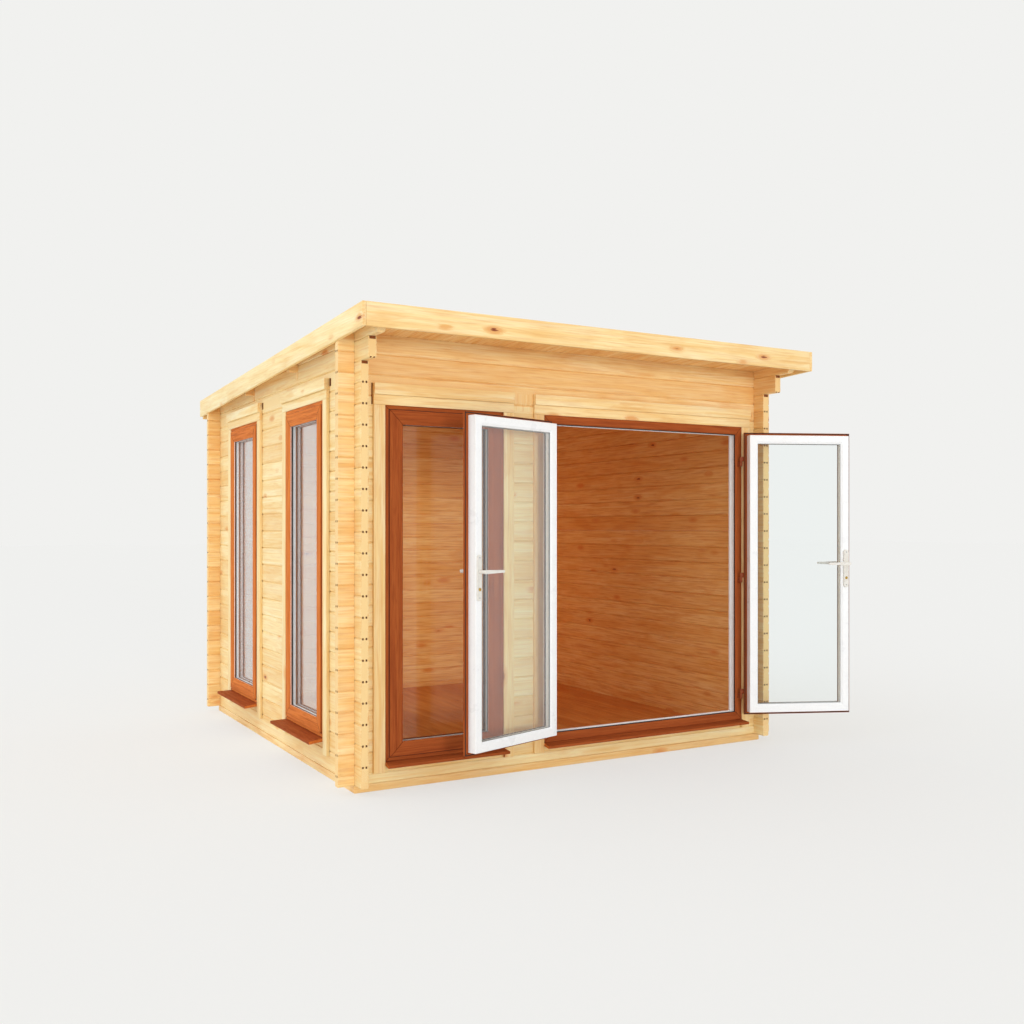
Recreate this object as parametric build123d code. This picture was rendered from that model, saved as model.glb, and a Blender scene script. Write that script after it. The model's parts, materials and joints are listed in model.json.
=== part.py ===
from build123d import *
import math
import os

# A log-built garden office with a single-slope roof, glazed double doors open at the front.
# Lengths are in millimetres. X runs to the right along the front wall, Y to the back, Z up.
# The origin is on the ground, at the middle of the rectangle of the wall centre lines.

# Log walls
log_cover = 110  # wall height gained by one log
log_thickness = 44
log_bevel = 6  # bevel that makes a V where two logs meet
corner_reach = 111  # run of a log past the centre line of the wall that it crosses
corbel_reach = 218  # the same for the side log that steps out under the front overhang
corbel_slant = 50  # slanted cut under the front end of the top side log
wedge_tip = 3  # thin end of a top log that tapers with the roof
notch_share = 0.5  # share of a log's height cut away underneath where it crosses another wall
half_log_share = 0.5  # the front and back walls start with this share of a log
seat = 0.3  # clearance between pieces that sit against each other
overrun = 20  # run of a cutter past what it cuts

# Floor
bearer_height = 40
bearer_width = 70
joist_width = 44
joist_count = 5
floor_thickness = 19

# Roof
roof_above_windows = 304  # top of the side window frames to the roof boards' underside at the front wall
roof_pitch = 2.2  # degrees, falling to the back
roof_board_thickness = 19
membrane_thickness = 4
front_overhang = 392  # wall centre line to the outer face of the front fascia
back_overhang = 196
side_overhang = 122
fascia_thickness = 20
fascia_height = 120
fascia_drop = 48  # reach of a fascia below the underside of the roof boards
back_fascia_height = 90
purlin_width = 44
purlin_height = 88
purlin_reach = 80  # run of a purlin past the centre line of a side wall
purlin_shares = (1 / 3, 2 / 3)  # of the wall depth

# Storm braces in the rear corners
brace_width = 45
brace_thickness = 20
brace_low = 260
brace_top_gap = 88  # below the underside of the roof boards at the back wall
brace_inset = 60  # from the inner face of the next wall

# Window and door frames, moulded hollow profiles with welded mitres
frame_height = 1878
frame_face = 48  # width of the frame seen from the front
frame_front = 36  # outer face of a frame before the wall's centre plane
frame_back = 26  # inner face of a frame behind the wall's centre plane
sash_back = 14
glazing_thickness = 28
glazing_edge = 15  # depth of the glazing's edge in its sash
glazing_front = 26  # outer glass face before the wall's centre plane
glazing_gap = 0.5
trim_width = 65
trim_thickness = 19
head_trim_height = 53
head_board_height = 60
head_board_thickness = 32
sill_thickness = 20
sill_fall = 8  # drop of a sill's top from the frame to its nose
sill_nose = 16

# Front window
front_frame_low = 150  # ground to the underside of the front frames
front_window_width = 714
front_window_margin = 144  # from the centre line of the left wall to the frame
front_pier = 265  # between the window frame and the door frame
front_sill_reach = 78  # from the wall face
front_sill_horn = 8
front_trim_low = 95

# Left windows
side_frame_low = 213
side_window_width = 676
side_front_margin = 419  # from the centre line of the front wall to the frame
side_pier = 625  # between the two frames
side_back_margin = 392  # from the frame to the centre line of the back wall
side_sill_reach = 106
side_sill_horn = 26
side_trim_low = 123

# Fixed sashes of the windows
window_flange_inset = 24  # width of frame that a sash leaves bare
window_flange = 10
window_sash_gap = 4
window_sight = 100  # from the frame's outer edge to the glass

# Double doors
door_frame_width = 1490
door_margin = 139  # from the frame to the centre line of the right wall
leaf_gap = 11  # leaf body to frame
leaf_flange_lap = 9  # lap of a leaf's flange over the frame
leaf_flange = 12
leaf_seal = 5  # seal between a leaf's flange and the frame
leaf_meeting_gap = 6
leaf_meeting_lap = 28  # flange past the body where the leaves meet
leaf_sight = 55  # from the leaf body's edge to the glass
left_door_angle = 162  # degrees open
right_door_angle = 157

# Hinges
hinge_low_inset = 169  # underside of the frame to the middle of the lowest hinge
hinge_high_inset = 223  # middle of the highest hinge to the top of the frame
hinge_half = 31  # height of one closed knuckle
hinge_radius = 8
hinge_proud = 9  # pin line before the leaf's outer face
hinge_offset = 12  # pin line beside the leaf's flange
hinge_plate = 3
hinge_plate_reach = 30
hinge_arm = 10
hinge_arm_clearance = 5

# Door furniture
lever_height = 1153
lock_drop = 92  # lever axis down to the key cylinder
handle_backset = 20  # body edge to lever axis
plate_width = 32
plate_height = 241
plate_above_lever = 89
plate_thickness = 9
spindle_width = 8  # of the square bar that joins the two levers
spindle_clearance = 0.3
lever_length = 130  # from the spindle to the middle of the rounded tip
lever_depth = 12
lever_projection = 52  # outer face of a lever from its plate
lever_hub_radius = 10
lever_tip_radius = 7
lock_radius = 8.5
lock_clearance = 0.2
lock_proud = 3

# Values that follow from the sizes above
half_log = log_thickness / 2
wall_width = front_window_margin + front_window_width + front_pier + door_frame_width + door_margin
side_windows_depth = side_window_width + side_pier + side_window_width
wall_depth = side_front_margin + side_windows_depth + side_back_margin
front_height = side_frame_low + frame_height + roof_above_windows
left_x = -wall_width / 2
right_x = wall_width / 2
front_y = -wall_depth / 2
back_y = wall_depth / 2
wall_base = bearer_height + seat
roof_fall = math.tan(math.radians(roof_pitch))
fascia_front_y = front_y - front_overhang
fascia_back_y = back_y + back_overhang
board_front_y = fascia_front_y + fascia_thickness + seat
board_back_y = fascia_back_y - fascia_thickness - seat
barge_x = wall_width / 2 + side_overhang
board_x = barge_x - fascia_thickness - seat
trim_face = half_log + trim_thickness
course_count = math.ceil((front_height - wall_base) / log_cover)


def roof_under(y):
    return front_height - (y - front_y) * roof_fall


def block(x_from, x_to, y_from, y_to, z_from, z_to):
    centre = ((x_from + x_to) / 2, (y_from + y_to) / 2, (z_from + z_to) / 2)
    return Pos(*centre) * Box(abs(x_to - x_from), abs(y_to - y_from), abs(z_to - z_from))


def prism_x(outline, x_from, x_to):
    points = [(x_from, y, z) for y, z in outline]
    return extrude(make_face(Polyline(*points, close=True)), amount=x_to - x_from, dir=(1, 0, 0))


def prism_y(outline, y_from, y_to):
    points = [(x, y_from, z) for x, z in outline]
    return extrude(make_face(Polyline(*points, close=True)), amount=y_to - y_from, dir=(0, 1, 0))


def prism_z(outline, z_from, z_to):
    points = [(x, y, z_from) for x, y in outline]
    return extrude(make_face(Polyline(*points, close=True)), amount=z_to - z_from, dir=(0, 0, 1))


def sloped_slab(y_from, y_to, above_from, above_to, x_from, x_to):
    outline = [
        (y_from, roof_under(y_from) + above_from),
        (y_to, roof_under(y_to) + above_from),
        (y_to, roof_under(y_to) + above_to),
        (y_from, roof_under(y_from) + above_to),
    ]
    return prism_x(outline, x_from, x_to)


def overlaps(shape, cutter):
    a = shape.bounding_box()
    b = cutter.bounding_box()
    return all(
        low_a < high_b and low_b < high_a
        for low_a, high_a, low_b, high_b in zip(tuple(a.min), tuple(a.max), tuple(b.min), tuple(b.max))
    )


def cut_all(shape, cutters):
    near = [cutter for cutter in cutters if overlaps(shape, cutter)]
    return shape - near if near else shape


nodes = {}


def keep(name, pieces):
    solids = [solid for piece in pieces for solid in piece.solids()]
    nodes[name] = Compound(children=solids) if len(solids) > 1 else solids[0]


# Floor frame and boards
outer_x = right_x + half_log
outer_y = back_y + half_log
inner_bearer_x = outer_x - bearer_width
inner_bearer_y = outer_y - bearer_width
bearers = [
    block(-outer_x, outer_x, -outer_y, -inner_bearer_y, 0, bearer_height),
    block(-outer_x, outer_x, inner_bearer_y, outer_y, 0, bearer_height),
]
side_bearer_y = inner_bearer_y - seat
for side in (-1, 1):
    edges = (side * outer_x, side * inner_bearer_x)
    bearers.append(block(*edges, -side_bearer_y, side_bearer_y, 0, bearer_height))
joist_x = inner_bearer_x - seat
joist_pitch = wall_depth / (joist_count + 1)
for index in range(joist_count):
    y = front_y + joist_pitch * (index + 1)
    bearers.append(block(-joist_x, joist_x, y - joist_width / 2, y + joist_width / 2, 0, bearer_height))
keep("floor_bearers", bearers)

floor_x = right_x - half_log - seat
floor_y = back_y - half_log - seat
floor_low = bearer_height + seat
keep("floor_deck", [block(-floor_x, floor_x, -floor_y, floor_y, floor_low, floor_low + floor_thickness)])

# Roof: purlins, boards, membrane and the boards along its edges
purlins = []
purlin_cuts = []
for share in purlin_shares:
    y = front_y + share * wall_depth
    y_from = y - purlin_width / 2
    y_to = y + purlin_width / 2
    low = roof_under(y) - purlin_height
    outline = [(y_from, low), (y_to, low), (y_to, roof_under(y_to)), (y_from, roof_under(y_from))]
    reach = right_x + purlin_reach
    purlins.append(prism_x(outline, -reach, reach))
    room = block(-reach - overrun, reach + overrun, y_from - seat, y_to + seat, low - seat, front_height)
    purlin_cuts.append(room)
keep("roof_purlins", purlins)

board_ends = (board_front_y, board_back_y)
board_top = seat + roof_board_thickness
membrane_low = board_top + seat
membrane_top = membrane_low + membrane_thickness
keep("roof_boards", [sloped_slab(*board_ends, seat, board_top, -board_x, board_x)])
keep("roof_membrane", [sloped_slab(*board_ends, membrane_low, membrane_top, -board_x, board_x)])
barge_inner_x = barge_x - fascia_thickness
fascia_x = barge_inner_x - seat
fascia_low = roof_under(fascia_front_y) - fascia_drop
fascia_edges = (fascia_front_y, fascia_front_y + fascia_thickness)
keep("front_fascia", [block(-fascia_x, fascia_x, *fascia_edges, fascia_low, fascia_low + fascia_height)])
back_fascia_top = roof_under(fascia_back_y) + membrane_top
back_fascia_low = back_fascia_top - back_fascia_height
back_edges = (fascia_back_y - fascia_thickness, fascia_back_y)
keep("back_fascia", [block(-fascia_x, fascia_x, *back_edges, back_fascia_low, back_fascia_top)])
barge_top = fascia_height - fascia_drop
for name, side in (("left_barge_board", -1), ("right_barge_board", 1)):
    edges = sorted((side * barge_x, side * barge_inner_x))
    keep(name, [sloped_slab(fascia_front_y, fascia_back_y, -fascia_drop, barge_top, *edges)])

# Openings for the frames, in the wall's own coordinates: along the wall, depth from its centre plane, height
front_window_x = left_x + front_window_margin + front_window_width / 2
door_x = right_x - door_margin - door_frame_width / 2
side_window_ys = [
    front_y + side_front_margin + side_window_width / 2,
    back_y - side_back_margin - side_window_width / 2,
]


def wall_opening(width, low):
    half = width / 2 + seat
    depth = half_log + overrun
    return block(-half, half, -depth, depth, low - sill_thickness - seat, low + frame_height + seat)


def on_front(shape, x):
    return Pos(x, front_y, 0) * shape


def on_left(shape, y):
    return Pos(left_x, y, 0) * Rot(0, 0, -90) * shape


front_openings = [
    on_front(wall_opening(front_window_width, front_frame_low), front_window_x),
    on_front(wall_opening(door_frame_width, front_frame_low), door_x),
]
left_openings = [on_left(wall_opening(side_window_width, side_frame_low), y) for y in side_window_ys]

# Log walls: where a log crosses another wall it is notched underneath, and its neck rides on that wall's log
roof_ends = (fascia_front_y - overrun, fascia_back_y + overrun)
room_x = barge_x + overrun
roof_room = sloped_slab(*roof_ends, 0, log_cover + log_cover, -room_x, room_x)
barge_room = [
    sloped_slab(*roof_ends, -fascia_drop - seat, barge_top, *edges)
    for edges in ((-room_x, -barge_inner_x + seat), (barge_inner_x - seat, room_x))
]


def log_outline(low, high):
    flat = half_log - log_bevel
    return [
        (-half_log, low + log_bevel),
        (-flat, low),
        (flat, low),
        (half_log, low + log_bevel),
        (half_log, high - log_bevel),
        (flat, high),
        (-flat, high),
        (-half_log, high - log_bevel),
    ]


def neck_low(course_low, y):
    middle = course_low + notch_share * log_cover
    roof = roof_under(y)
    return middle if middle < roof - wedge_tip else (course_low + roof) / 2


def crossing_notches(course_low, x, y, along_x):
    half_along = half_log + seat
    half_across = half_log + overrun
    half_x, half_y = (half_along, half_across) if along_x else (half_across, half_along)
    under = neck_low(course_low, y)
    above = neck_low(course_low + notch_share * log_cover, y) - seat
    spans = [(course_low - overrun, under)]
    if above < course_low + log_cover - seat:
        spans.append((above, course_low + log_cover + overrun))
    return [block(x - half_x, x + half_x, y - half_y, y + half_y, *span) for span in spans]


def front_or_back_wall(y, openings):
    logs = []
    for index in range(course_count + 1):
        course_low = wall_base + (index - half_log_share) * log_cover
        low = max(course_low, wall_base)
        if low > roof_under(y) - log_bevel - wedge_tip:
            break
        high = course_low + log_cover - seat
        reach = right_x + corner_reach
        log = Pos(0, y, 0) * prism_x(log_outline(low, high), -reach, reach)
        notches = [notch for x in (left_x, right_x) for notch in crossing_notches(course_low, x, y, True)]
        logs.append(cut_all(log, [*notches, roof_room, *barge_room, *openings]))
    return logs


def side_wall(x, openings):
    logs = []
    for index in range(course_count):
        low = wall_base + index * log_cover
        high = low + log_cover - seat
        start = front_y - corner_reach
        end = back_y + corner_reach
        top = index == course_count - 1
        if top:
            start = board_front_y
        elif index == course_count - 2:
            start = front_y - corbel_reach
        if high > roof_under(board_back_y):
            end = board_back_y
        thin_end = front_y + (front_height - low - wedge_tip) / roof_fall
        end = min(end, thin_end)
        log = Pos(x, 0, 0) * prism_y(log_outline(low, high), start, end)
        crossings = [y for y in (front_y, back_y) if y < end]
        notches = [notch for y in crossings for notch in crossing_notches(low, x, y, False)]
        if top:
            slant = [(start, low), (start + corbel_slant, low), (start, low + corbel_slant)]
            notches.append(prism_x(slant, x - half_log - overrun, x + half_log + overrun))
        logs.append(cut_all(log, [*notches, roof_room, *purlin_cuts, *openings]))
    return logs


keep("front_wall_logs", front_or_back_wall(front_y, front_openings))
keep("back_wall_logs", front_or_back_wall(back_y, []))
keep("left_wall_logs", side_wall(left_x, left_openings))
keep("right_wall_logs", side_wall(right_x, []))

# Storm braces, one on each wall beside a rear corner
wall_face_x = right_x - half_log - seat
wall_face_y = back_y - half_log - seat
brace_high = roof_under(back_y) - brace_top_gap
braces = []
for side in (-1, 1):
    on_side = sorted((side * wall_face_x, side * (wall_face_x - brace_thickness)))
    near_y = wall_face_y - brace_inset
    braces.append(block(*on_side, near_y - brace_width, near_y, brace_low, brace_high))
    near_x = wall_face_x - brace_inset
    on_back = sorted((side * near_x, side * (near_x - brace_width)))
    braces.append(block(*on_back, wall_face_y - brace_thickness, wall_face_y, brace_low, brace_high))
keep("storm_braces", braces)


# Frames, sashes, glass, sills and trim around an opening, centred on it and drawn on the wall's centre plane
def pane(width, low, inset, y_from, y_to):
    half = width / 2 - inset
    return block(-half, half, y_from, y_to, low + inset, low + frame_height - inset)


def ring(width, low, outer_inset, inner_inset, y_from, y_to):
    hole = pane(width, low, inner_inset, y_from - overrun, y_to + overrun)
    return pane(width, low, outer_inset, y_from, y_to) - hole


glass_back = glazing_thickness - glazing_front


def window_sash(width, low):
    flange_back = -frame_front - seat
    flange = ring(width, low, window_flange_inset, window_sight, flange_back - window_flange, flange_back)
    body = ring(width, low, frame_face + window_sash_gap, window_sight, flange_back, sash_back)
    groove_inset = window_sight - glazing_edge - glazing_gap
    groove = pane(width, low, groove_inset, -glazing_front - glazing_gap, glass_back + glazing_gap)
    return flange + body - groove


def sill(width, low, reach, horn):
    half = width / 2
    top = low - seat
    nose_y = -half_log - reach
    section = [
        (frame_back, top),
        (-frame_front, top),
        (nose_y, top - sill_fall),
        (nose_y, top - sill_fall - sill_nose),
        (-trim_face, low - sill_thickness),
        (frame_back, low - sill_thickness),
    ]
    tip = half + horn
    plan = [
        (-half, frame_back),
        (half, frame_back),
        (half, -trim_face),
        (tip, nose_y),
        (-tip, nose_y),
        (-half, -trim_face),
    ]
    z_from = low - sill_thickness - sill_fall - sill_nose
    return prism_x(section, -tip, tip) & prism_z(plan, z_from, low)


def trim(width, low, trim_low):
    inner = width / 2 + seat
    outer = inner + trim_width
    top = low + frame_height + seat
    face = (-trim_face, -half_log - seat)
    board_low = top + head_trim_height + seat
    board_face = (-half_log - head_board_thickness, -half_log - seat)
    return [
        block(-outer, -inner, *face, trim_low, top - seat),
        block(inner, outer, *face, trim_low, top - seat),
        block(-outer, outer, *face, top, top + head_trim_height),
        block(-outer, outer, *board_face, board_low, board_low + head_board_height),
    ]


def window(name, width, low, place, at, sill_size, trim_low):
    parts = {
        "frame": [ring(width, low, 0, frame_face, -frame_front, frame_back)],
        "sash": [window_sash(width, low)],
        "glass": [pane(width, low, window_sight - glazing_edge, -glazing_front, glass_back)],
        "sill": [sill(width, low, *sill_size)],
        "trim": trim(width, low, trim_low),
    }
    for part, pieces in parts.items():
        keep(f"{name}_{part}", [place(piece, at) for piece in pieces])


front_sill = (front_sill_reach, front_sill_horn)
side_sill = (side_sill_reach, side_sill_horn)
front_size = (front_window_width, front_frame_low)
side_size = (side_window_width, side_frame_low)
door_size = (door_frame_width, front_frame_low)
window("front_window", *front_size, on_front, front_window_x, front_sill, front_trim_low)
for name, y in zip(("left_front_window", "left_rear_window"), side_window_ys):
    window(name, *side_size, on_left, y, side_sill, side_trim_low)

keep("door_frame", [on_front(ring(*door_size, 0, frame_face, -frame_front, frame_back), door_x)])
keep("door_sill", [on_front(sill(*door_size, *front_sill), door_x)])
keep("door_trim", [on_front(piece, door_x) for piece in trim(*door_size, front_trim_low)])

# Door leaves, drawn closed from the frame's outer edge on the hinge side, then turned open about their pins
leaf_front = frame_front + leaf_seal + leaf_flange
flange_back = -frame_front - leaf_seal
flange_edge = frame_face - leaf_flange_lap
flange_end = door_frame_width / 2 - leaf_meeting_gap / 2
body_edge = frame_face + leaf_gap
body_end = flange_end - leaf_meeting_lap
frame_high = front_frame_low + frame_height
pin_edge = flange_edge - hinge_offset
pin_y = -leaf_front - hinge_proud
lever_edge = body_end - handle_backset
lock_height = lever_height - lock_drop
spindle_room = spindle_width / math.sqrt(2) + spindle_clearance  # half of the square hole that it turns in
lock_bore = lock_radius + lock_clearance
low_hinge = front_frame_low + hinge_low_inset
high_hinge = frame_high - hinge_high_inset
hinge_heights = (low_hinge, (low_hinge + high_hinge) / 2, high_hinge)


def leaf_block(side, from_edge, to_edge, y_from, y_to, z_from, z_to):
    edges = sorted(side * (door_frame_width / 2 - edge) for edge in (from_edge, to_edge))
    return block(*edges, y_from, y_to, z_from, z_to)


def rod_y(side, edge, z, radius, y_from, y_to):
    x = side * (door_frame_width / 2 - edge)
    return Pos(x, (y_from + y_to) / 2, z) * Rot(90, 0, 0) * Cylinder(radius, y_to - y_from)


def rod_z(side, edge, y, radius, z_from, z_to):
    x = side * (door_frame_width / 2 - edge)
    return Pos(x, y, (z_from + z_to) / 2) * Cylinder(radius, z_to - z_from)


def leaf_sash(side):
    z_edges = (front_frame_low + flange_edge, frame_high - flange_edge)
    flange = leaf_block(side, flange_edge, flange_end, -leaf_front, flange_back, *z_edges)
    body_low = front_frame_low + body_edge
    body_high = frame_high - body_edge
    body = leaf_block(side, body_edge, body_end, flange_back, sash_back, body_low, body_high)
    sight = (body_edge + leaf_sight, body_end - leaf_sight)
    through = (-leaf_front - overrun, sash_back + overrun)
    light = leaf_block(side, *sight, *through, body_low + leaf_sight, body_high - leaf_sight)
    groove = leaf_glass(side, glazing_gap)
    slot_edges = (lever_edge - lock_bore, lever_edge + lock_bore)
    lock_slot = leaf_block(side, *slot_edges, *through, lock_height - lock_bore, lever_height + spindle_room)
    return flange + body - light - groove - lock_slot


def leaf_glass(side, room):
    edge = leaf_sight - glazing_edge - room
    return leaf_block(
        side,
        body_edge + edge,
        body_end - edge,
        -glazing_front - room,
        glass_back + room,
        front_frame_low + body_edge + edge,
        frame_high - body_edge - edge,
    )


def plate_faces():
    outside = (-leaf_front - seat - plate_thickness, -leaf_front - seat)
    inside = (sash_back + seat, sash_back + seat + plate_thickness)
    return outside, inside


def handle_plates(side):
    x = side * (door_frame_width / 2 - lever_edge)
    z = lever_height + plate_above_lever - plate_height / 2
    hole_edges = (lever_edge - spindle_room, lever_edge + spindle_room)
    hole_heights = (lever_height - spindle_room, lever_height + spindle_room)
    plates = []
    for y_from, y_to in plate_faces():
        outline = Plane.XZ * Rot(0, 0, 90) * SlotOverall(plate_height, plate_width)
        plate = Pos(x, y_to, z) * extrude(outline, amount=y_to - y_from)
        through = (y_from - overrun, y_to + overrun)
        plate -= leaf_block(side, *hole_edges, *through, *hole_heights)
        plate -= rod_y(side, lever_edge, lock_height, lock_bore, *through)
        plates.append(plate)
    return plates


def lock_cylinder(side):
    outside, inside = plate_faces()
    return rod_y(side, lever_edge, lock_height, lock_radius, outside[0] - lock_proud, inside[1] + lock_proud)


def lever_arm(side, y_from, y_to):
    hub = Circle(lever_hub_radius)
    tip = Pos(side * lever_length, 0) * Circle(lever_tip_radius)
    outline = Plane.XZ * make_hull(hub.edges() + tip.edges())
    x = side * (door_frame_width / 2 - lever_edge)
    return Pos(x, y_to, lever_height) * extrude(outline, amount=y_to - y_from)


def lever_pair(side):
    outside, inside = plate_faces()
    tips = (outside[0] - lever_projection, inside[1] + lever_projection)
    half = spindle_width / 2
    spindle_edges = (lever_edge - half, lever_edge + half)
    pair = leaf_block(side, *spindle_edges, *tips, lever_height - half, lever_height + half)
    hub_at = (side, lever_edge, lever_height, lever_hub_radius)
    pair += rod_y(*hub_at, tips[0], outside[0] - seat)
    pair += rod_y(*hub_at, inside[1] + seat, tips[1])
    pair += lever_arm(side, tips[0], tips[0] + lever_depth)
    pair += lever_arm(side, tips[1] - lever_depth, tips[1])
    return pair


def frame_hinge(side, z):
    arm_edge = flange_edge - hinge_arm_clearance
    low = z - hinge_half
    back = -frame_front - seat
    bracket = leaf_block(side, arm_edge - hinge_plate_reach, arm_edge, back - hinge_plate, back, low, z)
    arm = leaf_block(side, arm_edge - hinge_arm, arm_edge, pin_y, back, low, z)
    knuckle = rod_z(side, pin_edge, pin_y, hinge_radius, low, z)
    return bracket + arm + knuckle


def leaf_hinge(side, z):
    low = z + seat
    high = z + hinge_half
    back = -leaf_front - seat
    leaf_plate = leaf_block(side, pin_edge, pin_edge + hinge_plate_reach, back - hinge_plate, back, low, high)
    knuckle = rod_z(side, pin_edge, pin_y, hinge_radius, low, high)
    return leaf_plate + knuckle


keep("frame_hinges", [on_front(frame_hinge(side, z), door_x) for side in (-1, 1) for z in hinge_heights])

for name, side, angle in (("left_door", -1, left_door_angle), ("right_door", 1, right_door_angle)):
    pin_x = side * (door_frame_width / 2 - pin_edge)
    turn = Pos(pin_x, pin_y, 0) * Rot(0, 0, side * angle) * Pos(-pin_x, -pin_y, 0)
    leaf_parts = {
        "sash": [leaf_sash(side)],
        "glass": [leaf_glass(side, 0)],
        "hinges": [leaf_hinge(side, z) for z in hinge_heights],
        "plates": handle_plates(side),
        "lock": [lock_cylinder(side)],
        "lever": [lever_pair(side)],
    }
    for part, pieces in leaf_parts.items():
        keep(f"{name}_{part}", [on_front(turn * piece, door_x) for piece in pieces])

os.makedirs("parts", exist_ok=True)
for name, shape in nodes.items():
    export_step(shape, os.path.join("parts", f"{name}.step"))
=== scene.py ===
import bpy
import bmesh
import json
import math
import random
from mathutils import Matrix, Vector


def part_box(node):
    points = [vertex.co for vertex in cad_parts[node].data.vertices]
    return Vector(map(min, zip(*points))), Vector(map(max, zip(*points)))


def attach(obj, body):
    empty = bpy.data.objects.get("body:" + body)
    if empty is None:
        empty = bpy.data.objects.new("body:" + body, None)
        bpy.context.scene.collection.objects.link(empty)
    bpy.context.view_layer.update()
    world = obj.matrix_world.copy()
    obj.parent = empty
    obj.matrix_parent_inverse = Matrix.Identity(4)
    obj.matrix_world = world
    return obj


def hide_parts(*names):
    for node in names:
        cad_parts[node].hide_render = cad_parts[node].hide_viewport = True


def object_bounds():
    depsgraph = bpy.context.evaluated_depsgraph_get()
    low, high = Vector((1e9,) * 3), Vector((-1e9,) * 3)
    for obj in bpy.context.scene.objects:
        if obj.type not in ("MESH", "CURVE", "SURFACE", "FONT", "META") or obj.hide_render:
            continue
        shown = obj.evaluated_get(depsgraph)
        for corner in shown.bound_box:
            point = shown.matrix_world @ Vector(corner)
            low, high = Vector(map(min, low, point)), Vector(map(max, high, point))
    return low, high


# A log-built garden office with glazed double doors, drawn in metres over the CAD nodes
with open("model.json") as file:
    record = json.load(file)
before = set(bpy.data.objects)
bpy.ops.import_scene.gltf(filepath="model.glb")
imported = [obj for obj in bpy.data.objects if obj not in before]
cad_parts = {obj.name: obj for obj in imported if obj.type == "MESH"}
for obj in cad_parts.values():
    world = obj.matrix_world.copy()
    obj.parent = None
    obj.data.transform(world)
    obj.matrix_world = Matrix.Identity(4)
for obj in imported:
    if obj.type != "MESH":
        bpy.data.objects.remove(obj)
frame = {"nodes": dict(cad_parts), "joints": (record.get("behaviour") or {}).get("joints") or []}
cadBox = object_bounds()
nodes = frame["nodes"]
mm = 0.001
print("frame loaded:", len(nodes), "nodes")


def linearColour(hexText):
    parts = [int(hexText[i:i + 2], 16) / 255 for i in (0, 2, 4)]
    return [c / 12.92 if c <= 0.04045 else ((c + 0.055) / 1.055) ** 2.4 for c in parts] + [1.0]


def addNode(tree, kind, inputs=None, stops=None, **settings):
    # a node given as an input stands for its first output
    node = tree.nodes.new(kind)
    for name, value in settings.items():
        setattr(node, name, value)
    for key, value in (inputs or {}).items():
        if isinstance(value, bpy.types.Node):
            value = value.outputs[0]
        if isinstance(value, bpy.types.NodeSocket):
            tree.links.new(value, node.inputs[key])
        else:
            node.inputs[key].default_value = value
    if stops:
        ramp = node.color_ramp
        while len(ramp.elements) < len(stops):
            ramp.elements.new(0.5)
        for element, (position, colour) in zip(ramp.elements, stops):
            element.position = position
            element.color = linearColour(colour)
    return node


def startMaterial(name, values):
    material = bpy.data.materials.new(name)
    material.use_nodes = True
    tree = material.node_tree
    tree.nodes.clear()
    shader = addNode(tree, "ShaderNodeBsdfPrincipled", values)
    addNode(tree, "ShaderNodeOutputMaterial", {"Surface": shader})
    return material, tree, shader


def grainOf(tree, apart):
    # what a mesh carries: place in the board, tone, and warmth that also paints shade; the tone also moves the
    # grain apart
    heart = addNode(tree, "ShaderNodeAttribute", attribute_name="heartCo").outputs["Vector"]
    tone = addNode(tree, "ShaderNodeAttribute", attribute_name="boardTone").outputs["Fac"]
    warmth = addNode(tree, "ShaderNodeAttribute", attribute_name="boardWarmthAndShade").outputs["Fac"]
    shift = addNode(tree, "ShaderNodeVectorMath", {0: tone, 1: apart}, operation="MULTIPLY")
    grain = addNode(tree, "ShaderNodeVectorMath", {0: heart, 1: shift}, operation="ADD")
    return heart, tone, warmth, grain


def drawnOut(tree, grain, look, kind, noise, bend=(0.0, 0.0, 0.0)):
    # noise of the length and width that the look gives for its kind, pushed aside by the bend
    along, across = 1 / look[kind + "Length"], 1 / look[kind + "Width"]
    spot = {0: grain, 1: (along, across, across), 2: bend}
    vector = addNode(tree, "ShaderNodeVectorMath", spot, operation="MULTIPLY_ADD")
    return addNode(tree, "ShaderNodeTexNoise", {"Vector": vector, "Scale": 1.0, **noise})


def overlaid(tree, colour, look, layers):
    # colours of the look laid on one another, each by its share
    for share, over in layers:
        layer = {0: share, 6: colour, 7: linearColour(look[over])}
        colour = addNode(tree, "ShaderNodeMix", layer, data_type="RGBA").outputs[2]
    return colour


# a warmer, darker tint by a share: the wood's own colour on cut ends, painted shade on the pieces that get less
# light
def warmedAndShaded(tree, colour, look, warmth):
    layer = {0: warmth, 6: colour, 7: linearColour(look["warmAndShadeTint"])}
    return addNode(tree, "ShaderNodeMix", layer, data_type="RGBA", blend_type="MULTIPLY").outputs[2]


def setSurface(tree, shader, colour, roughness, gloss, height, relief, strength):
    # the gloss follows a noise that lies mostly between 0.3 and 0.7
    low, high = roughness
    rough = addNode(tree, "ShaderNodeMapRange", {"Value": gloss, 1: 0.3, 2: 0.7, 3: low, 4: high})
    bump = addNode(tree, "ShaderNodeBump", {"Strength": strength, "Distance": relief, "Height": height})
    for socket, value in (("Base Color", colour), ("Roughness", rough.outputs[0]), ("Normal", bump.outputs[0])):
        tree.links.new(value, shader.inputs[socket])


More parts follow.
